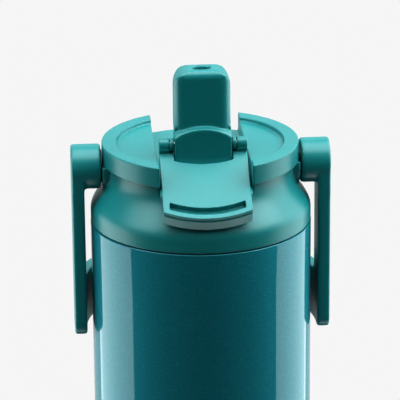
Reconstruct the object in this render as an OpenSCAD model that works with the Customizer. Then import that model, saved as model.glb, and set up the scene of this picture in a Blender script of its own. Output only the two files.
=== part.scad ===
// Insulated water bottle with a flip straw lid and a swinging carry handle.
// Millimetres, +Z up, origin at the centre of the base. The lid is drawn open:
// the cover hangs over the front edge (-Y), the spout stands up, the handle hangs down.

/* [Bottle body] */
// Outside diameter of the steel body
body_d = 74; // [72:0.5:74.5]
// Height from the table to the seam under the lid
body_h = 190; // [150:5:240]
// Thickness of the outer steel wall
shell_wall = 0.8; // [0.6:0.1:1.2]
// Thickness of the inner steel wall
liner_wall = 0.6; // [0.4:0.1:0.8]
// Vacuum gap between the two walls
vacuum_gap = 2.6; // [2:0.1:3.5]

/* [Neck and thread] */
// Outside diameter of the bottle neck
neck_d = 55.4; // [54:0.2:56]
// Height of the neck above the seam
neck_h = 7.2; // [7:0.1:7.4]
// Rise of the thread in one turn
thread_pitch = 3; // [2.8:0.1:3.2]
// Turns of thread
thread_turns = 1.5; // [1:0.25:1.5]

/* [Lid] */
// Diameter of the flat deck on top of the lid
deck_d = 65.7; // [65:0.1:66]
// Height of the deck's top above the seam
deck_top = 27.5; // [27:0.1:28]
// Thickness of the deck's rim
deck_t = 6.8; // [6.5:0.1:7]
// Width of the channel across the deck
channel_w = 30.2; // [30:0.1:31]
// Diameter of the two shallow wells beside the channel
well_d = 55.8; // [54:0.2:57]
// Depth of the two wells
well_depth = 1.5; // [1:0.1:2]
// Width of the lid's neck under the deck
lid_neck_d = 61.6; // [61:0.1:62]
// Wall thickness of the lid collar
collar_wall = 2.4; // [2:0.1:2.6]

/* [Spout and cover] */
// Distance of the flip hinge in front of the bottle's axis
hinge_fwd = 13.2; // [13:0.1:13.5]
// Height of the flip hinge above the seam
hinge_up = 30.3; // [30.2:0.1:30.8]
// Diameter of the hinge barrels
barrel_d = 4.3; // [4:0.1:4.6]
// Diameter of the steel hinge pins
hinge_pin_d = 2; // [1.8:0.1:2.2]
// Width of the spout
spout_w = 18.7; // [18:0.1:19]
// Depth of the spout, front to back
spout_t = 10.7; // [10:0.1:11]
// Height of the spout's tip above the hinge
spout_h = 24.9; // [22:0.1:25]
// Width of the flip cover
cover_w = 28.9; // [28.5:0.1:29.2]
// Length of the flip cover, hinge to rounded end
cover_len = 31; // [30:0.1:31.5]
// Thickness of the cover plate
cover_t = 2.4; // [2:0.1:2.4]
// Thickness of the cover at its rounded end
cover_lip_t = 5.3; // [4:0.1:5.4]
// How far the open cover hangs below level
open_tilt = 30; // [30:0.5:31]

/* [Handle] */
// Diameter of the handle's round bosses
boss_d = 15; // [14:0.1:15.2]
// Height of the handle's pivot above the seam
pivot_up = 19.3; // [19:0.1:19.6]
// Width over both handle arms
handle_w = 86.4; // [86:0.1:87]
// Thickness of the handle's arms
arm_t = 4.2; // [4:0.1:4.4]
// Width of the handle's arms, front to back
arm_w = 13; // [11:0.5:14]
// Length of the handle below the seam
handle_drop = 39.5; // [38:0.1:44]
// Height of the band that joins the arms behind the bottle
band_h = 18; // [14:0.5:20]

/* [Straw] */
// Outside diameter of the straw
straw_d = 7; // [6.6:0.1:7.2]
// Gap between the straw's foot and the floor of the bottle
straw_foot_gap = 6; // [4:0.5:10]

/* [Hidden] */
$fn = 96;

eps = 0.01;
far = 100;
run_gap = 0.05;
fit_gap = 0.1;
grip_gap = 0.02;
seam_gap = 0.35;
body_r = body_d / 2;
neck_r = neck_d / 2;
neck_wall = 0.7;
lip_t = 0.4;
lip_top = neck_h + lip_t;
shoulder_r = 0.6;
base_corner_r = 4;
base_up = 0.8;
pad_r = 31;
pad_t = 1.5;
groove_in = 19;
groove_out = 22;
groove_depth = 0.5;
base_disc_t = 0.8;
base_disc_r = pad_r + 0.6;
dimple_r = 4;
liner_r = body_r - shell_wall - vacuum_gap;
liner_bottom = 9;
liner_top = body_h - shell_wall - vacuum_gap;
liner_neck_r = neck_r - neck_wall - run_gap;
liner_corner_r = 9;
liner_shoulder_r = 5;
getter_r = 6;
getter_t = 2;
thread_depth = 1.1;
thread_bite = 0.3;
thread_root = 1.5;
thread_tip = 0.7;
thread_start = 1.7;
steps_per_turn = 36;

deck_r = deck_d / 2;
deck_bottom = deck_top - deck_t;
floor_up = deck_bottom + 0.3;
channel_half = channel_w / 2;
lid_neck_r = lid_neck_d / 2;
skirt_r = body_r - 0.1;
skirt_straight = 4.5;
neck_blend_up = 18;
core_r = 31;
core_bottom = 0.8;
core_ledge = lip_top + 1;
core_top = core_ledge + 2;
core_bore_r = neck_r + thread_depth + 0.25;
foam_r = 27.9;
plate_bottom = deck_bottom - 3.6;
spigot_bottom = deck_bottom - 1.8;
spigot_r = 27.9;

hinge_y = -hinge_fwd;
barrel_r = barrel_d / 2;
pin_r = hinge_pin_d / 2;
drum_r = 7.25;
drum_side_r = 5.7;
ledge_r = 6.4;
ledge_side_r = 3.95;
drum_half = spout_w / 2;
drum_flat = 3;
spout_front = 1.1;
spout_back = spout_t - spout_front;
spout_corner_r = 5.6;
spout_top_r = 2.6;
spout_edge_r = 3.6;
undercut_y = 1;
fold_angle = 110;
close_angle = 230;
bore_r = 2.4;
mouth_half = 0.9;
mouth_r = 2;
mouth_floor = spout_h - 10;
upper_bore_r = 1.7;
upper_bore_y = 2.4;
knuckle_gap = 0.12;
side_gap = 0.25;
lug_inner = drum_half + side_gap;
lug_outer = 11;
knuckle_inner = lug_outer + knuckle_gap;
lug_front = 0.4;
lug_reach = (hinge_up - floor_up) / cos(open_tilt) + 1.5;
inner_face = 1.7;
relief_angle = 50;
relief_margin = 5.5;
crown_gap = 0.25;
well_wall = 1.4;
dent_wall = 2;
cover_gap = 0.5;
slot_from_end = 2;
slot_w = 2.6;
slot_depth = 2.05;
nub_along = 18.9;
nub_r = 0.6;
nub_len = 1.5;
lip_out = 0.3;
plate_start = 0.9;
lip_w = 1.6;
port_r = 4.4;
seal_half_w = 7;
seal_half_d = 2.6;
seal_bore_r = 1.8;
vent_y = 21;
vent_r = 1.2;
valve_r = 3;
valve_lip = 0.9;
valve_stem_r = valve_r - 1.5;
valve_hole_r = 0.7;

boss_r = boss_d / 2;
handle_half = handle_w / 2;
arm_taper = 16;
handle_tip_r = 4;
boss_inner = 33.3;
pad_face = 32.9;
pad_back = 26.5;
pad_core_r = 4;
pad_core_end = 31.4;
pivot_r = 2;
pivot_head_r = 3.2;
pivot_head_in = 40.2;
pivot_head_out = 41.4;
cap_r = 4.4;
cap_in = 41.7;
washer_in = 32.95;
washer_out = 33.25;
washer_r = 5.5;
straw_r = straw_d / 2;
straw_wall = 0.9;
adapter_wall = 1.4;
adapter_grip = 7;
adapter_h = 11;
port_end = core_ledge - 7;
straw_top = port_end - 1;

// Points of an arc, centre [cx, cz], from angle a0 to a1
function arc(cx, cz, r, a0, a1, n = 8) =
  [for (i = [0 : n]) [cx + r * cos(a0 + (a1 - a0) * i / n), cz + r * sin(a0 + (a1 - a0) * i / n)]];

// Smooth S curve of the lid's side, from the skirt in to the neck
function lid_side(inset = 0, n = 12) =
  [for (i = [0 : n]) let (t = i / n, s = t * t * (3 - 2 * t))
    [skirt_r - (skirt_r - lid_neck_r) * s - inset,
     skirt_straight + (neck_blend_up - skirt_straight) * (0.86 * t + 0.14 * t * t) - inset * 0.35]];

// One helical rib, wound round the Z axis; grow is +1 outwards, -1 inwards
module helix_rib(root_r, grow, depth, z0, turns) {
  n = steps_per_turn * turns;
  taper = steps_per_turn / 6;
  pts = [for (i = [0 : n]) let (
      a = 360 * i / steps_per_turn,
      z = z0 + thread_pitch * i / steps_per_turn,
      k = max(0.05, min(1, i / taper, (n - i) / taper)),
      r0 = root_r - grow * thread_bite,
      r1 = root_r + grow * depth * k)
    each [[r0 * cos(a), r0 * sin(a), z - thread_root / 2],
      [r1 * cos(a), r1 * sin(a), z - thread_tip / 2],
      [r1 * cos(a), r1 * sin(a), z + thread_tip / 2],
      [r0 * cos(a), r0 * sin(a), z + thread_root / 2]]];
  sides = [for (i = [0 : n - 1]) for (j = [0 : 3]) let (b = 4 * i, k = (j + 1) % 4)
    each [[b + j, b + 4 + k, b + k], [b + j, b + 4 + j, b + 4 + k]]];
  ends = [[0, 1, 2], [0, 2, 3], [4 * n + 2, 4 * n + 1, 4 * n], [4 * n + 3, 4 * n + 2, 4 * n]];
  turned = [for (f = concat(sides, ends)) [f[2], f[1], f[0]]];
  polyhedron(points = pts, faces = grow > 0 ? turned : concat(sides, ends));
}

// A round bar along X from x0 to x1 on both sides of the bottle
module both_sides(x0, x1, r, y, z) {
  for (side = [-1, 1])
    translate([side * (x0 + x1) / 2, y, z])
      rotate([0, 90, 0])
        cylinder(h = x1 - x0, r = r, center = true);
}

// Extrudes a [y, z] outline along X, centred
module slab(half_w) {
  rotate([90, 0, 90])
    linear_extrude(height = 2 * half_w, center = true)
      children();
}

// Moves to the hinge axis
module at_hinge() {
  translate([0, hinge_y, hinge_up]) children();
}

// Space swept by the folding spout, grown by g
module spout_sweep(g) {
  fold = fold_angle - 90;
  intersection() {
    circle(r = spout_h + 2.2 + g);
    rotate(-fold)
      translate([0, -spout_back - side_gap - g])
        square([far, far]);
    rotate(relief_angle - fold_angle - relief_margin)
      translate([0, -g])
        square([far, far]);
  }
}

// Everything above the underside of the open cover, lowered by drop
module cover_room(drop) {
  rotate(open_tilt)
    translate([-far, -inner_face - cover_t - cover_gap - drop])
      square([far, far]);
}

// The lid collar's outline revolved, inset from its outside and cut off at height top
module lid_solid(inset, top) {
  rotate_extrude()
    polygon(concat([[0, seam_gap], [skirt_r - inset, seam_gap]], lid_side(inset),
      [[lid_neck_r - inset, top], [0, top]]));
}

module outer_shell() {
  color("#0b7f8c")
  union() {
    rotate_extrude()
      polygon(concat(
        [[base_disc_r, base_up]],
        arc(body_r - base_corner_r, base_up + base_corner_r, base_corner_r, -90, 0),
        arc(body_r - shoulder_r, body_h - shoulder_r, shoulder_r, 0, 90, 4),
        [[neck_r, body_h], [neck_r, body_h + neck_h], [neck_r - neck_wall, body_h + neck_h],
         [neck_r - neck_wall, body_h - shell_wall]],
        [[body_r - shell_wall, body_h - shell_wall]],
        arc(body_r - base_corner_r, base_up + base_corner_r, base_corner_r - shell_wall, 0, -90),
        [[base_disc_r, base_up + shell_wall]]));
    translate([0, 0, body_h])
      helix_rib(neck_r, 1, thread_depth, thread_start, thread_turns);
  }
}

module inner_liner() {
  r = liner_corner_r;
  sr = liner_shoulder_r;
  w = liner_wall;
  nr = liner_neck_r;
  color("silver")
  rotate_extrude()
    polygon(concat(
      [[0, liner_bottom]],
      arc(liner_r - r, liner_bottom + r, r, -90, 0),
      arc(liner_r - sr, liner_top - sr, sr, 0, 90),
      [[nr, liner_top], [nr, body_h + neck_h], [neck_r, body_h + neck_h],
       [neck_r, body_h + lip_top], [nr - w, body_h + lip_top], [nr - w, liner_top - w]],
      arc(liner_r - sr, liner_top - sr, sr - w, 90, 0),
      arc(liner_r - r, liner_bottom + r, r - w, 0, -90),
      [[0, liner_bottom + w]]));
}

module base_disc() {
  color("gainsboro")
  translate([0, 0, pad_t])
    difference() {
      cylinder(h = base_disc_t, r = base_disc_r);
      translate([0, 0, -eps])
        cylinder(h = base_disc_t / 2 + eps, r = dimple_r);
    }
}

module vacuum_seal_bead() {
  color("dimgray")
  translate([0, 0, pad_t + 0.05])
    cylinder(h = base_disc_t / 2 - 0.05, r = dimple_r - 0.5);
}

module getter() {
  color("slategray")
  translate([0, 0, liner_bottom - getter_t])
    cylinder(h = getter_t, r = getter_r);
}

module base_pad() {
  color("#0a6f74")
  rotate_extrude()
    polygon([[0, 0], [groove_in, 0], [groove_in, groove_depth], [groove_out, groove_depth],
      [groove_out, 0], [pad_r - 0.5, 0], [pad_r, 0.5], [pad_r, pad_t], [0, pad_t]]);
}

module lid_collar() {
  color("#12a5a6")
  translate([0, 0, body_h])
    difference() {
      union() {
        lid_solid(0, deck_bottom);
        intersection() {
          both_sides(pad_back, pad_face, boss_r, 0, pivot_up);
          translate([-far, -far, 0])
            cube([2 * far, 2 * far, deck_bottom]);
        }
        both_sides(pad_back, pad_core_end, pad_core_r, 0, pivot_up);
      }
      difference() {
        lid_solid(collar_wall, plate_bottom);
        both_sides(pad_back, pad_core_end, boss_r, 0, pivot_up);
        at_hinge()
          slab(channel_half + dent_wall)
            cover_room(collar_wall);
      }
      at_hinge()
        slab(channel_half)
          cover_room(0);
      at_hinge()
        slab(drum_half + side_gap + well_wall + fit_gap)
          spout_sweep(well_wall + fit_gap);
      translate([0, hinge_y, plate_bottom - 5])
        cylinder(h = 10, r = port_r + fit_gap);
      translate([0, vent_y, plate_bottom - 5])
        cylinder(h = 10, r = vent_r);
      translate([0, 0, spigot_bottom - 0.1])
        cylinder(h = deck_bottom - spigot_bottom + 0.1, r = spigot_r + fit_gap);
      both_sides(pad_back - 1, pad_face + 1, pivot_r + run_gap, 0, pivot_up);
    }
}

module thread_core() {
  color("#0f9294")
  translate([0, 0, body_h])
    difference() {
      union() {
        difference() {
          cylinder(h = core_top, r = core_r);
          translate([0, 0, -eps])
            cylinder(h = core_ledge + eps, r = core_bore_r);
          translate([0, 0, -eps])
            cylinder(h = core_bottom + eps, r = core_r + 1);
        }
        helix_rib(core_bore_r, -1, thread_depth, thread_start + thread_pitch / 2, thread_turns);
      }
      translate([0, hinge_y, core_ledge - 1])
        cylinder(h = 5, r = port_r + fit_gap);
      translate([0, vent_y, core_ledge - 1])
        cylinder(h = 5, r = valve_stem_r + fit_gap);
      translate([0, vent_y, core_top - valve_lip])
        cylinder(h = 5, r = valve_r + fit_gap);
    }
}

module lid_gasket() {
  color("whitesmoke")
  translate([0, 0, body_h + lip_top])
    difference() {
      cylinder(h = core_ledge - lip_top, r = neck_r + 0.2);
      translate([0, 0, -eps])
        cylinder(h = 5, r = liner_neck_r - liner_wall);
    }
}

module lid_foam() {
  color("ivory")
  translate([0, 0, body_h])
    difference() {
      translate([0, 0, core_top + 0.9])
        cylinder(h = plate_bottom - core_top - 1, r = foam_r);
      at_hinge()
        slab(channel_half + dent_wall + 2 * fit_gap)
          cover_room(collar_wall + 2 * fit_gap);
      at_hinge()
        slab(drum_half + side_gap + well_wall + 2 * fit_gap)
          spout_sweep(well_wall + 2 * fit_gap);
      translate([0, hinge_y, 0])
        cylinder(h = far, r = port_r + 0.3);
      translate([0, vent_y, 0])
        cylinder(h = far, r = valve_r);
      both_sides(pad_back - 2, pad_face, boss_r + 0.3, 0, pivot_up);
    }
}

// Lugs that lean back from the hinge, clear of the end of the open cover
module hinge_lugs() {
  both_sides(lug_inner, lug_outer, barrel_r, hinge_y, hinge_up);
  for (side = [-1, 1])
    translate([side * (lug_inner + lug_outer) / 2, 0, 0])
      at_hinge()
        slab((lug_outer - lug_inner) / 2)
          rotate(open_tilt)
            translate([-lug_front, -lug_reach])
              square([barrel_r + lug_front, lug_reach]);
}

module top_deck() {
  color("#16b1b1")
  translate([0, 0, body_h])
    difference() {
      union() {
        difference() {
          union() {
            translate([0, 0, deck_bottom])
              cylinder(h = deck_t, r = deck_r);
            translate([0, 0, spigot_bottom])
              cylinder(h = deck_t, r = spigot_r);
          }
          translate([-channel_half, -far, floor_up])
            cube([channel_w, 2 * far, far]);
          translate([0, 0, deck_top - well_depth])
            cylinder(h = far, r = well_d / 2);
          at_hinge()
            slab(channel_half)
              cover_room(0);
          both_sides(pad_back - 1, pad_core_end + fit_gap, pad_core_r + fit_gap, 0, pivot_up);
          both_sides(pad_back - 1, deck_r + 1, pivot_r + 0.3, 0, pivot_up);
        }
        intersection() {
          at_hinge()
            slab(drum_half + side_gap + well_wall)
              spout_sweep(well_wall);
          translate([-far, -far, 0])
            cube([2 * far, 2 * far, floor_up]);
        }
        hinge_lugs();
        translate([0, hinge_y, port_end])
          cylinder(h = floor_up - port_end, r = port_r);
      }
      at_hinge()
        slab(drum_half + side_gap)
          spout_sweep(0);
      translate([0, hinge_y, port_end - 1])
        cylinder(h = far, r = bore_r);
      translate([0, vent_y, spigot_bottom - 1])
        cylinder(h = 5, r = vent_r);
      both_sides(lug_inner - 1, lug_outer + 1, pin_r + run_gap, hinge_y, hinge_up);
    }
}

// Round-cornered front view of the spout, in [x, z] from the hinge
module spout_front_view() {
  r = spout_corner_r;
  w = spout_w / 2;
  polygon(concat([[-w, 0], [w, 0]],
    arc(w - r, spout_h - r, r, 0, 90), arc(-w + r, spout_h - r, r, 90, 180)));
}

// Side view of the spout, in [y, z] from the hinge, undercut at the back
module spout_side_view() {
  r = spout_top_r;
  polygon(concat([[-spout_front, 0], [undercut_y, 0],
    [spout_back, (spout_back - undercut_y) * tan(relief_angle)]],
    arc(spout_back - r, spout_h - r, r, 0, 90), arc(r - spout_front, spout_h - r, r, 90, 180)));
}

// Top view of the spout with rounded corners, in [x, y] from the hinge
module spout_top_view() {
  r = spout_edge_r;
  translate([0, (spout_back - spout_front) / 2])
    offset(r = r)
      square([spout_w - 2 * r, spout_t - 2 * r], center = true);
}

module spout() {
  mouth_y = (spout_back - spout_front) / 2;
  color("#0d8e90")
  translate([0, 0, body_h])
  at_hinge()
    difference() {
      union() {
        intersection() {
          translate([0, spout_back, 0])
            rotate([90, 0, 0])
              linear_extrude(height = spout_t)
                spout_front_view();
          slab(far)
            spout_side_view();
          linear_extrude(height = spout_h)
            spout_top_view();
        }
        intersection() {
          union() {
            difference() {
              crowned(drum_r, drum_side_r, drum_half);
              translate([-far, -far, 0])
                cube([2 * far, far, far]);
            }
            crowned(ledge_r, ledge_side_r, drum_half);
          }
          translate([-far, -drum_flat, -far])
            cube([2 * far, 2 * far, 2 * far]);
        }
      }
      translate([0, 0, -drum_r - 1])
        cylinder(h = drum_r + 2, r = bore_r);
      translate([0, upper_bore_y, -0.5])
        cylinder(h = mouth_floor + 2, r = upper_bore_r);
      translate([-mouth_half, mouth_y - mouth_r, mouth_floor])
        cube([2 * mouth_half, 2 * mouth_r, far]);
      for (side = [-1, 1])
        translate([side * mouth_half, mouth_y, mouth_floor])
          cylinder(h = far, r = mouth_r);
      both_sides(drum_half - 3, drum_half + 1, pin_r + run_gap, 0, 0);
    }
}

// A drum on the hinge axis, of radius mid_r in the middle and side_r at the spout's sides
module crowned(mid_r, side_r, half_w) {
  rise = mid_r - side_r;
  big_r = (drum_half * drum_half + rise * rise) / (2 * rise);
  half_a = asin(half_w / big_r);
  rotate([0, 90, 0])
    rotate_extrude()
      polygon(concat([[0, -half_w]], arc(mid_r - big_r, 0, big_r, -half_a, half_a, 12),
        [[0, half_w]]));
}

module spout_seal() {
  color("whitesmoke")
  translate([0, 0, body_h])
    difference() {
      translate([-seal_half_w, hinge_y - seal_half_d, floor_up])
        cube([2 * seal_half_w, 2 * seal_half_d, 3]);
      at_hinge()
        rotate([0, 90, 0])
          cylinder(h = far, r = drum_r + run_gap, center = true);
      translate([0, hinge_y, 0])
        cylinder(h = far, r = seal_bore_r);
    }
}

// Flat outline of the cover, in [x, distance from the hinge]
module cover_outline() {
  intersection() {
    translate([-cover_w / 2, plate_start])
      square([cover_w, far]);
    translate([0, cover_len - deck_r])
      circle(r = deck_r);
  }
}

// Arc-shaped strip near the cover's end, from inset i0 to i1
module end_strip(i0, i1, half) {
  intersection() {
    difference() {
      translate([0, cover_len - deck_r])
        circle(r = deck_r - i0);
      translate([0, cover_len - deck_r])
        circle(r = deck_r - i1);
    }
    translate([-half, 0])
      square([2 * half, far]);
  }
}

module flip_cover() {
  color("#2bb9bb")
  translate([0, 0, body_h])
  at_hinge()
    rotate([-open_tilt, 0, 180])
      cover_flat();
}

// The cover laid flat, hinge along X, plate towards +Y, inner face up
module cover_flat() {
  w = cover_w / 2;
  difference() {
    union() {
      translate([0, 0, -inner_face - cover_t])
        linear_extrude(height = cover_t)
          cover_outline();
      translate([0, 0, -inner_face - cover_lip_t])
        linear_extrude(height = cover_lip_t - cover_t / 2)
          end_strip(-lip_out, lip_w, w);
      both_sides(knuckle_inner, w, barrel_r, 0, 0);
      for (side = [-1, 1])
        translate([side * (knuckle_inner + w) / 2, plate_start + 0.5, -inner_face / 2 - 0.6])
          cube([w - knuckle_inner, barrel_r, inner_face + 1.2], center = true);
      for (side = [-1, 1])
        translate([side * w, nub_along, -inner_face - cover_t + nub_r])
          linear_extrude(height = cover_t - 2 * nub_r)
            offset(r = nub_r)
              square([eps, nub_len], center = true);
    }
    crowned(drum_r + crown_gap, drum_side_r + crown_gap, drum_half + 0.3);
    both_sides(0, knuckle_inner, barrel_r + 0.15, 0, 0);
    translate([0, 0, -inner_face - slot_depth])
      linear_extrude(height = far)
        end_strip(slot_from_end, slot_from_end + slot_w, w - 2.2);
    both_sides(knuckle_inner - 1, w - 0.9, pin_r + run_gap, 0, 0);
  }
}

module hinge_pins() {
  color("silver")
  translate([0, 0, body_h])
    both_sides(drum_half - 2.8, cover_w / 2 - 1, pin_r, hinge_y, hinge_up);
}

module straw_adapter() {
  color("whitesmoke")
  translate([0, hinge_y, body_h])
    difference() {
      translate([0, 0, port_end - adapter_grip])
        cylinder(h = adapter_h, r = port_r + adapter_wall);
      translate([0, 0, port_end])
        cylinder(h = 10, r = port_r + grip_gap);
      translate([0, 0, port_end - adapter_grip - 1])
        cylinder(h = adapter_grip, r = straw_r + grip_gap);
      cylinder(h = 20, r = bore_r, center = true);
    }
}

module straw() {
  foot = liner_bottom + liner_wall + straw_foot_gap;
  color("lightcyan", 0.8)
  translate([0, hinge_y, 0])
    difference() {
      translate([0, 0, foot])
        cylinder(h = body_h + straw_top - foot, r = straw_r);
      translate([0, 0, foot - 1])
        cylinder(h = body_h, r = straw_r - straw_wall);
    }
}

module vent_valve() {
  color("whitesmoke")
  translate([0, vent_y, body_h])
    difference() {
      union() {
        translate([0, 0, core_top - valve_lip])
          cylinder(h = valve_lip - fit_gap, r = valve_r);
        translate([0, 0, core_ledge - 3])
          cylinder(h = core_top - core_ledge + 2.5, r = valve_stem_r);
      }
      translate([0, 0, core_ledge - 2.2])
        cylinder(h = far, r = valve_hole_r);
    }
}

module handle() {
  arm_in = handle_half - arm_t;
  low = -handle_drop;
  tip_r = handle_tip_r;
  color("#13a0a2")
  translate([0, 0, body_h])
    difference() {
      union() {
        both_sides(boss_inner, handle_half, boss_r, 0, pivot_up);
        for (side = [-1, 1])
          translate([side * (handle_half - arm_t / 2), 0, 0])
            slab(arm_t / 2)
              polygon(concat(
                [[boss_r - 0.4, pivot_up], [-boss_r + 0.4, pivot_up], [-arm_w / 2, pivot_up - arm_taper]],
                arc(-arm_w / 2 + tip_r, low + tip_r, tip_r, 180, 270),
                [[arm_w / 2, low], [arm_w / 2, pivot_up - arm_taper]]));
        intersection() {
          difference() {
            translate([0, 0, low])
              cylinder(h = band_h, r = handle_half, $fn = 180);
            translate([0, 0, low - 1])
              cylinder(h = band_h + 2, r = arm_in, $fn = 180);
          }
          translate([-far, 0, low - 1])
            cube([2 * far, far, band_h + 2]);
        }
      }
      both_sides(boss_inner - 1, handle_half + 1, pivot_r + run_gap, 0, pivot_up);
      both_sides(pivot_head_in - fit_gap, handle_half + 1, pivot_head_r + fit_gap, 0, pivot_up);
      both_sides(cap_in - 0.05, handle_half + 1, cap_r + run_gap, 0, pivot_up);
    }
}

module pivot_pins() {
  color("silver")
  translate([0, 0, body_h]) {
    both_sides(pad_back + 0.2, pivot_head_in + 0.1, pivot_r, 0, pivot_up);
    both_sides(pivot_head_in, pivot_head_out, pivot_head_r, 0, pivot_up);
  }
}

module pivot_washers() {
  color("#04252a")
  translate([0, 0, body_h])
    difference() {
      both_sides(washer_in, washer_out, washer_r, 0, pivot_up);
      both_sides(washer_in - 1, washer_out + 1, pivot_r + run_gap, 0, pivot_up);
    }
}

module pivot_caps() {
  color("#0f9a9c")
  translate([0, 0, body_h])
    both_sides(cap_in, handle_half - 0.05, cap_r, 0, pivot_up);
}

outer_shell();
inner_liner();
base_disc();
vacuum_seal_bead();
getter();
base_pad();
lid_collar();
thread_core();
lid_gasket();
lid_foam();
top_deck();
spout();
spout_seal();
flip_cover();
hinge_pins();
straw_adapter();
straw();
vent_valve();
handle();
pivot_pins();
pivot_washers();
pivot_caps();
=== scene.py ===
import math
import bpy
import bmesh
from mathutils import Matrix, Vector


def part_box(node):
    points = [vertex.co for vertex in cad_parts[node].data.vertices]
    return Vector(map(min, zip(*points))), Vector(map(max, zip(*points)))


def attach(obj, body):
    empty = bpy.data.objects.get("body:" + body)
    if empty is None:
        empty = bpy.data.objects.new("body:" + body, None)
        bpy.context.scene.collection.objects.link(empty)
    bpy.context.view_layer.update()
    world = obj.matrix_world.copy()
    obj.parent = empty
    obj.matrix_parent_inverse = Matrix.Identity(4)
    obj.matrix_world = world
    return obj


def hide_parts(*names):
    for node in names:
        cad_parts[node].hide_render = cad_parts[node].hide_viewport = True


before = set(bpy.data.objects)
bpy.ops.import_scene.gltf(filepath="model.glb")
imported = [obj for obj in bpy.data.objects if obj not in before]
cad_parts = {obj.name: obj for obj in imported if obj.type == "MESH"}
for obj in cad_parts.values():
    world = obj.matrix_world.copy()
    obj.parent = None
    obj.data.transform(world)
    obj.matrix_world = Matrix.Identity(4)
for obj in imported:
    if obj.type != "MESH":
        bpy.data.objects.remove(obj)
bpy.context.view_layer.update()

MM = 0.001
scene = bpy.context.scene

# Places worked out from the frame
shell_lo, shell_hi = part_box("outer_shell")
pins_lo, pins_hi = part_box("hinge_pins")
SEAM_GAP = 0.35 * MM
BODY_R = shell_hi.x
BASE_Z = shell_lo.z
NECK_TOP = shell_hi.z
SEAM_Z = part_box("lid_collar")[0].z - SEAM_GAP
HINGE_Z = (pins_lo.z + pins_hi.z) / 2


# ---------------------------------------------------------------- node helpers

def new_material(name):
    mat = bpy.data.materials.new(name)
    mat.use_nodes = True
    nodes = mat.node_tree.nodes
    return mat, nodes, mat.node_tree.links, nodes["Principled BSDF"]


def object_coords(nodes):
    return nodes.new("ShaderNodeTexCoord").outputs["Object"]


def noise(nodes, links, scale, detail=3.0):
    tex = nodes.new("ShaderNodeTexNoise")
    tex.inputs["Scale"].default_value = scale
    tex.inputs["Detail"].default_value = detail
    links.new(object_coords(nodes), tex.inputs["Vector"])
    return tex


def bump(nodes, links, height, strength, distance):
    node = nodes.new("ShaderNodeBump")
    node.inputs["Strength"].default_value = strength
    node.inputs["Distance"].default_value = distance
    links.new(height, node.inputs["Height"])
    return node.outputs["Normal"]


def ramp(nodes, links, value, stops):
    node = nodes.new("ShaderNodeValToRGB")
    links.new(value, node.inputs["Fac"])
    elements = node.color_ramp.elements
    while len(elements) < len(stops):
        elements.new(0.5)
    for element, (place, colour) in zip(elements, stops):
        element.position = place
        element.color = (*colour, 1.0)
    return node.outputs["Color"]


def shade(colour, k):
    return tuple(min(1.0, c * k) for c in colour)


def mottled(nodes, links, value, colour, darker, lighter):
    """A colour that wanders with value, from darker times itself to lighter times itself."""
    return ramp(nodes, links, value, [(0.3, shade(colour, darker)), (0.7, shade(colour, lighter))])


def moulded_plastic(name, colour, rough=0.36):
    """Satin moulded plastic: faint flow marks in the colour, fine grain in the surface."""
    mat, nodes, links, bsdf = new_material(name)
    flow = noise(nodes, links, 60.0)
    tint = mottled(nodes, links, flow.outputs["Fac"], colour, 0.96, 1.04)
    links.new(tint, bsdf.inputs["Base Color"])
    fine = noise(nodes, links, 5200.0, 2.0)
    links.new(bump(nodes, links, fine.outputs["Fac"], 0.05, 0.05 * MM), bsdf.inputs["Normal"])
    gloss = noise(nodes, links, 900.0)
    spread = nodes.new("ShaderNodeMapRange")
    spread.inputs["To Min"].default_value = rough - 0.04
    spread.inputs["To Max"].default_value = rough + 0.05
    links.new(gloss.outputs["Fac"], spread.inputs["Value"])
    links.new(spread.outputs["Result"], bsdf.inputs["Roughness"])
    bsdf.inputs["IOR"].default_value = 1.72
    return mat


def pearl_paint(name):
    """Metallic pearl paint under a clear coat: a teal base full of fine bright flakes."""
    mat, nodes, links, bsdf = new_material(name)
    flakes = nodes.new("ShaderNodeTexVoronoi")
    flakes.inputs["Scale"].default_value = 7000.0
    links.new(object_coords(nodes), flakes.inputs["Vector"])
    pick = nodes.new("ShaderNodeSeparateColor")
    links.new(flakes.outputs["Color"], pick.inputs["Color"])
    tint = ramp(nodes, links, pick.outputs["Red"],
                [(0.0, (0.0, 0.26, 0.315)), (0.80, (0.0, 0.295, 0.355)), (0.98, (0.03, 0.42, 0.48))])
    links.new(tint, bsdf.inputs["Base Color"])
    bsdf.inputs["Metallic"].default_value = 0.6
    bsdf.inputs["Roughness"].default_value = 0.72
    links.new(bump(nodes, links, pick.outputs["Green"], 0.12, 0.03 * MM), bsdf.inputs["Normal"])
    bsdf.inputs["Coat Weight"].default_value = 1.0
    bsdf.inputs["Coat Roughness"].default_value = 0.04
    bsdf.inputs["Coat IOR"].default_value = 1.58
    return mat


def brushed_steel(name, colour=(0.62, 0.63, 0.64), rough=0.28):
    """Steel with fine lines round the Z axis."""
    mat, nodes, links, bsdf = new_material(name)
    lines = noise(nodes, links, 1.0, 4.0)
    stretch = nodes.new("ShaderNodeMapping")
    stretch.inputs["Scale"].default_value = (60.0, 60.0, 9000.0)
    links.new(object_coords(nodes), stretch.inputs["Vector"])
    links.new(stretch.outputs["Vector"], lines.inputs["Vector"])
    tint = mottled(nodes, links, lines.outputs["Fac"], colour, 0.9, 1.06)
    links.new(tint, bsdf.inputs["Base Color"])
    links.new(bump(nodes, links, lines.outputs["Fac"], 0.12, 0.03 * MM), bsdf.inputs["Normal"])
    bsdf.inputs["Metallic"].default_value = 1.0
    bsdf.inputs["Roughness"].default_value = rough
    return mat


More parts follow.
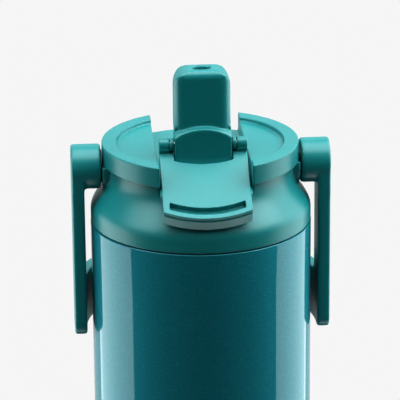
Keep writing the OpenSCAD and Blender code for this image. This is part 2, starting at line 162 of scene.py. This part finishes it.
def silicone(name, colour):
    """Matte silicone rubber with a soft, slightly waxy depth."""
    mat, nodes, links, bsdf = new_material(name)
    mottle = noise(nodes, links, 220.0)
    tint = mottled(nodes, links, mottle.outputs["Fac"], colour, 0.94, 1.05)
    links.new(tint, bsdf.inputs["Base Color"])
    fine = noise(nodes, links, 3500.0)
    links.new(bump(nodes, links, fine.outputs["Fac"], 0.1, 0.05 * MM), bsdf.inputs["Normal"])
    bsdf.inputs["Roughness"].default_value = 0.62
    bsdf.inputs["Subsurface Weight"].default_value = 0.15
    bsdf.inputs["Subsurface Radius"].default_value = (0.002, 0.002, 0.002)
    bsdf.inputs["Subsurface Scale"].default_value = 0.3
    return mat


def foam(name):
    """Closed-cell foam: a field of small pits."""
    mat, nodes, links, bsdf = new_material(name)
    cells = nodes.new("ShaderNodeTexVoronoi")
    cells.inputs["Scale"].default_value = 1400.0
    links.new(object_coords(nodes), cells.inputs["Vector"])
    # Painted shade: the colour darkens towards each cell's centre, the bottom of its pit.
    tint = ramp(nodes, links, cells.outputs["Distance"],
                [(0.0, (0.72, 0.69, 0.58)), (0.6, (0.86, 0.84, 0.75))])
    links.new(tint, bsdf.inputs["Base Color"])
    links.new(bump(nodes, links, cells.outputs["Distance"], 0.5, 0.2 * MM), bsdf.inputs["Normal"])
    bsdf.inputs["Roughness"].default_value = 0.85
    return mat


def clear_plastic(name):
    """Translucent straw tube, a little cloudy."""
    mat, nodes, links, bsdf = new_material(name)
    cloud = noise(nodes, links, 90.0)
    tint = ramp(nodes, links, cloud.outputs["Fac"],
                [(0.3, (0.80, 0.90, 0.90)), (0.7, (0.88, 0.95, 0.95))])
    links.new(tint, bsdf.inputs["Base Color"])
    bsdf.inputs["Roughness"].default_value = 0.22
    bsdf.inputs["Transmission Weight"].default_value = 0.7
    return mat


TEAL = (0.010, 0.29, 0.30)
MAT = {
    "paint": pearl_paint("pearl_paint"),
    "teal": moulded_plastic("teal_satin", TEAL),
    # A slightly darker copy of the teal: painted shade over the whole spout.
    "teal_spout_shaded": moulded_plastic("teal_spout_shaded", (0.008, 0.285, 0.295), 0.34),
    "teal_dark": moulded_plastic("teal_inner", shade(TEAL, 0.85), 0.5),
    "steel": brushed_steel("steel_drawn"),
    "steel_dull": brushed_steel("steel_dull", (0.36, 0.36, 0.37), 0.5),
    "white_silicone": silicone("silicone_clear", (0.80, 0.83, 0.82)),
    "pad": silicone("silicone_teal", (0.0, 0.20, 0.22)),
    "foam": foam("lid_foam_cells"),
    "straw": clear_plastic("straw_tube"),
    # Near-black washers: painted shade for the dark gap between each pivot boss and the lid.
    "washer": moulded_plastic("washer_shade_dark", (0.004, 0.03, 0.032), 0.35),
}


# ---------------------------------------------------------------- mesh helpers

def link(name, mesh):
    obj = bpy.data.objects.new(name, mesh)
    scene.collection.objects.link(obj)
    return obj


def dress(obj, node, body, material):
    """Gives a new piece its body and its material, and hides the CAD node that it stands for."""
    obj.data.materials.clear()
    obj.data.materials.append(MAT[material])
    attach(obj, body)
    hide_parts(node)


def apply_modifiers(obj):
    """Replaces obj's mesh with the mesh that its modifiers make of it."""
    depsgraph = bpy.context.evaluated_depsgraph_get()
    mesh = bpy.data.meshes.new_from_object(obj.evaluated_get(depsgraph))
    obj.modifiers.clear()
    old = obj.data
    obj.data = mesh
    bpy.data.meshes.remove(old)


def moulded(node, body, material, voxel, rounds, softer=None, more=0):
    """A node's solid rebuilt as one even skin, its edges eased as a mould's are.

    softer gives each point's share, from 0 to 1, in a number of further rounds, more."""
    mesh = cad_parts[node].data.copy()
    obj = link(node + "_skin", mesh)
    remesh = obj.modifiers.new("skin", "REMESH")
    remesh.mode = "VOXEL"
    remesh.voxel_size = voxel
    remesh.use_smooth_shade = True
    ease = obj.modifiers.new("ease", "SMOOTH")
    ease.factor = 0.5
    ease.iterations = rounds
    apply_modifiers(obj)
    if softer is not None:
        group = obj.vertex_groups.new(name="softer")
        for vertex in obj.data.vertices:
            weight = softer(vertex.co)
            if weight > 0:
                group.add([vertex.index], min(1.0, weight), "REPLACE")
        again = obj.modifiers.new("softer", "SMOOTH")
        again.factor = 0.5
        again.iterations = more
        again.vertex_group = group.name
        apply_modifiers(obj)
    for polygon in obj.data.polygons:
        polygon.use_smooth = True
    dress(obj, node, body, material)


def lathe(name, profile, steps=256):
    """A closed [radius, height] outline turned round the Z axis."""
    bm = bmesh.new()
    rings = []
    for i in range(steps):
        a = 2 * math.pi * i / steps
        rings.append([bm.verts.new((r * math.cos(a), r * math.sin(a), z)) for r, z in profile])
    n = len(profile)
    for i in range(steps):
        here, there = rings[i], rings[(i + 1) % steps]
        for j in range(n):
            k = (j + 1) % n
            bm.faces.new((here[j], there[j], there[k], here[k]))
    bmesh.ops.recalc_face_normals(bm, faces=bm.faces)
    mesh = bpy.data.meshes.new(name)
    bm.to_mesh(mesh)
    bm.free()
    return mesh


def arc(cx, cz, r, a0, a1, n=10):
    return [(cx + r * math.cos(math.radians(a0 + (a1 - a0) * i / n)),
             cz + r * math.sin(math.radians(a0 + (a1 - a0) * i / n))) for i in range(n + 1)]


# ---------------------------------------------------------------- the pieces

def build_shell():
    """Outer steel wall: rolled foot, straight painted side, shoulder, plain neck."""
    wall = 0.8 * MM
    corner = 4 * MM
    edge = 0.3 * MM
    neck_root = 0.5 * MM
    neck = 27.7 * MM
    foot_r = 31.6 * MM
    neck_wall = 0.7 * MM
    crease = math.radians(40)
    profile = [(foot_r, BASE_Z)]
    profile += arc(BODY_R - corner, BASE_Z + corner, corner, -90, 0, 14)
    profile += [(BODY_R, BASE_Z + (SEAM_Z - BASE_Z) * k / 12) for k in range(1, 12)]
    profile += arc(BODY_R - edge, SEAM_Z - edge, edge, 0, 90, 6)
    profile += [(neck + neck_root, SEAM_Z), (neck, SEAM_Z + neck_root)]
    profile += [(neck, NECK_TOP), (neck - neck_wall, NECK_TOP), (neck - neck_wall, SEAM_Z - wall)]
    profile += [(BODY_R - wall, SEAM_Z - wall)]
    profile += arc(BODY_R - corner, BASE_Z + corner, corner - wall, 0, -90, 14)
    profile += [(foot_r, BASE_Z + wall)]
    obj = link("outer_shell_skin", lathe("outer_shell_skin", profile))
    for polygon in obj.data.polygons:
        polygon.use_smooth = True
    split = obj.modifiers.new("edges", "EDGE_SPLIT")
    split.split_angle = crease
    apply_modifiers(obj)
    add_thread(obj)
    dress(obj, "outer_shell", "bottle", "paint")


def add_thread(obj):
    """The neck's raised helix, faded in and out over a sixth of a turn."""
    per_turn = 96
    turns = 1.5
    pitch = 3 * MM
    start = SEAM_Z + 1.7 * MM
    root = 27.5 * MM
    depth = 1.3 * MM
    half_root = 0.75 * MM
    half_tip = 0.35 * MM
    fade_steps = per_turn / 6
    least = 0.05
    count = int(per_turn * turns)
    bm = bmesh.new()
    bm.from_mesh(obj.data)
    rows = []
    for i in range(count + 1):
        a = 2 * math.pi * i / per_turn
        z = start + pitch * i / per_turn
        fade = max(least, min(1.0, i / fade_steps, (count - i) / fade_steps))
        outer = root + depth * fade
        corners = ((root, z - half_root), (outer, z - half_tip),
                   (outer, z + half_tip), (root, z + half_root))
        rows.append([bm.verts.new((r * math.cos(a), r * math.sin(a), h)) for r, h in corners])
    for a, b in zip(rows, rows[1:]):
        for j in range(4):
            k = (j + 1) % 4
            bm.faces.new((a[j], a[k], b[k], b[j]))
    bm.faces.new(rows[0][::-1])
    bm.faces.new(rows[-1])
    bm.to_mesh(obj.data)
    bm.free()


def beside_channel(p):
    """How far a point of the deck lies outside the channel, from 0 at its wall to 1 a millimetre on."""
    channel_half = 15.1 * MM
    return (abs(p.x) - channel_half) / MM


def above_hinge(p):
    """How far a point lies in the spout's free end: 0 below it, 1 above a stretch where it fades in."""
    free_from = 8 * MM
    fade_in = 3 * MM
    return (p.z - HINGE_Z - free_from) / fade_in


def build_mouldings():
    """The moulded pieces. A finer voxel keeps finer detail, and more rounds give rounder edges."""
    moulded("lid_collar", "lid", "teal", 0.35 * MM, 6)
    moulded("top_deck", "lid", "teal", 0.3 * MM, 3, beside_channel, 8)
    moulded("spout", "spout", "teal_spout_shaded", 0.25 * MM, 6, above_hinge, 40)
    moulded("flip_cover", "cover", "teal", 0.2 * MM, 3)
    moulded("handle", "handle", "teal", 0.35 * MM, 28)
    moulded("base_pad", "bottle", "pad", 0.4 * MM, 3)


# Pieces shown as the CAD has them, and their finish
CAD_FINISH = {
    "inner_liner": "steel",
    "base_disc": "steel",
    "vacuum_seal_bead": "steel_dull",
    "getter": "steel_dull",
    "thread_core": "teal_dark",
    "lid_gasket": "white_silicone",
    "lid_foam": "foam",
    "spout_seal": "white_silicone",
    "hinge_pins": "steel",
    "straw_adapter": "white_silicone",
    "straw": "straw",
    "vent_valve": "white_silicone",
    "pivot_pins": "steel",
    "pivot_washers": "washer",
    "pivot_caps": "teal",
}


def finish_cad_nodes():
    for node, finish in CAD_FINISH.items():
        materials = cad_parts[node].data.materials
        if len(materials) == 0:
            materials.append(MAT[finish])
        for i in range(len(materials)):
            materials[i] = MAT[finish]


# ---------------------------------------------------------------- floor, light, camera

PAPER = (0.937, 0.937, 0.937, 1)


def pale_floor():
    """A wide floor that the camera sees as an even pale grey and that hardly lights the object.

    The side walls reach below it, so it is kept out of reflections and casts no shadow."""
    size = 14.0
    dark = (0.03, 0.03, 0.03, 1)
    mesh = bpy.data.meshes.new("floor")
    corners = [(-size, -size, 0), (size, -size, 0), (size, size, 0), (-size, size, 0)]
    mesh.from_pydata(corners, [], [(0, 1, 2, 3)])
    floor = link("floor", mesh)
    mat = bpy.data.materials.new("floor_paper")
    mat.use_nodes = True
    nodes, links = mat.node_tree.nodes, mat.node_tree.links
    nodes.clear()
    out = nodes.new("ShaderNodeOutputMaterial")
    mix = nodes.new("ShaderNodeMixShader")
    rays = nodes.new("ShaderNodeLightPath")
    glow = nodes.new("ShaderNodeEmission")
    glow.inputs["Color"].default_value = PAPER
    matte = nodes.new("ShaderNodeBsdfDiffuse")
    matte.inputs["Color"].default_value = dark
    links.new(rays.outputs["Is Camera Ray"], mix.inputs["Fac"])
    links.new(matte.outputs["BSDF"], mix.inputs[1])
    links.new(glow.outputs["Emission"], mix.inputs[2])
    links.new(mix.outputs["Shader"], out.inputs["Surface"])
    mesh.materials.append(mat)
    floor.visible_glossy = False
    floor.visible_shadow = False


def softbox(name, place, aim, width, height, radiance):
    """A rectangular soft light at place, facing aim. radiance is how bright the object sees it."""
    data = bpy.data.lights.new(name, "AREA")
    data.shape = "RECTANGLE"
    data.size = width
    data.size_y = height
    data.energy = 4 * radiance * width * height
    obj = bpy.data.objects.new(name, data)
    scene.collection.objects.link(obj)
    obj.location = place
    obj.rotation_mode = "QUATERNION"
    obj.rotation_quaternion = (Vector(aim) - Vector(place)).to_track_quat("-Z", "Y")
    obj.visible_camera = False


def around(azimuth, distance, height):
    """A point at an azimuth counted from the camera's side (-Y), positive to the right."""
    a = math.radians(azimuth)
    return (distance * math.sin(a), -distance * math.cos(a), height)


def side_wall(name, x, y_ends, z_ends, radiance):
    """A tall white wall beside the object, facing it squarely. y_ends and z_ends are its edges.

    It reaches below the floor, because the body's upright side mirrors what lies low down."""
    y = (y_ends[0] + y_ends[1]) / 2
    z = (z_ends[0] + z_ends[1]) / 2
    softbox(name, (x, y, z), (0, y, z), y_ends[1] - y_ends[0], z_ends[1] - z_ends[0], radiance)


def build_light():
    """Broad panels overhead, a tall wall and a raised panel on each side, a backdrop, a weak fill."""
    middle = (0, 0, SEAM_Z)
    overhead = SEAM_Z + 0.62
    high = SEAM_Z + 0.42
    wall_x = 0.36
    softbox("top", (0, -0.06, overhead), middle, 1.3, 0.66, 2.65)
    softbox("top_rear", (0, 0.66, overhead), middle, 1.3, 0.7, 0.45)
    side_wall("left_wall", -wall_x, (-0.082, 0.39), (-0.76, 0.22), 1.95)
    softbox("left_high", around(-72, 0.70, high), middle, 0.5, 0.3, 2.6)
    softbox("right_high", around(70, 0.70, high), middle, 0.5, 0.3, 3.6)
    side_wall("right_wall", wall_x, (-0.083, 0.385), (-0.70, 0.80), 1.7)
    softbox("backdrop", (0, 1.3, 0.2), (0, 0, 0.2), 2.6, 2.4, 0.55)
    softbox("front", around(-4, 1.9, SEAM_Z + 0.55), middle, 1.2, 0.6, 0.1)
    softbox("bounce", (0, -0.12, SEAM_Z - 0.5), (0, -0.05, SEAM_Z), 0.6, 0.28, 1.8)


def build_world():
    """The dark room round the lights, which the camera sees as pale paper, and the picture's tone."""
    world = bpy.data.worlds.new("studio")
    scene.world = world
    world.use_nodes = True
    nodes, links = world.node_tree.nodes, world.node_tree.links
    nodes.clear()
    out = nodes.new("ShaderNodeOutputWorld")
    mix = nodes.new("ShaderNodeMixShader")
    rays = nodes.new("ShaderNodeLightPath")
    room = nodes.new("ShaderNodeBackground")
    room.inputs["Color"].default_value = (0.9, 0.95, 1.0, 1)
    room.inputs["Strength"].default_value = 0.015
    seen = nodes.new("ShaderNodeBackground")
    seen.inputs["Color"].default_value = PAPER
    links.new(rays.outputs["Is Camera Ray"], mix.inputs["Fac"])
    links.new(room.outputs["Background"], mix.inputs[1])
    links.new(seen.outputs["Background"], mix.inputs[2])
    links.new(mix.outputs["Shader"], out.inputs["Surface"])
    scene.view_settings.view_transform = "Standard"
    scene.view_settings.look = "None"
    scene.view_settings.gamma = 0.75


def build_camera():
    """A long lens 0.9 m from the lid, a little left of front and above, tipped slightly sideways."""
    azimuth = math.radians(3.926)
    elevation = math.radians(19.30)
    roll = math.radians(-0.523)
    eye_from_seam = Vector((-58.04, -842.99, 302.0)) * MM
    level = math.cos(elevation)
    ahead = Vector((math.sin(azimuth) * level, math.cos(azimuth) * level, -math.sin(elevation)))
    right = ahead.cross(Vector((0, 0, 1))).normalized()
    up = right.cross(ahead)
    rolled_right = math.cos(roll) * right + math.sin(roll) * up
    rolled_up = -math.sin(roll) * right + math.cos(roll) * up
    turn = Matrix((rolled_right, rolled_up, -ahead)).transposed()
    data = bpy.data.cameras.new("camera")
    data.sensor_width = 36.0
    data.lens = 240.1
    camera = bpy.data.objects.new("camera", data)
    scene.collection.objects.link(camera)
    camera.rotation_mode = "QUATERNION"
    camera.rotation_quaternion = turn.to_quaternion()
    camera.location = eye_from_seam + Vector((0, 0, SEAM_Z))
    scene.camera = camera


# ---------------------------------------------------------------- everything in order

build_shell()
build_mouldings()
finish_cad_nodes()
pale_floor()
build_light()
build_world()
build_camera()
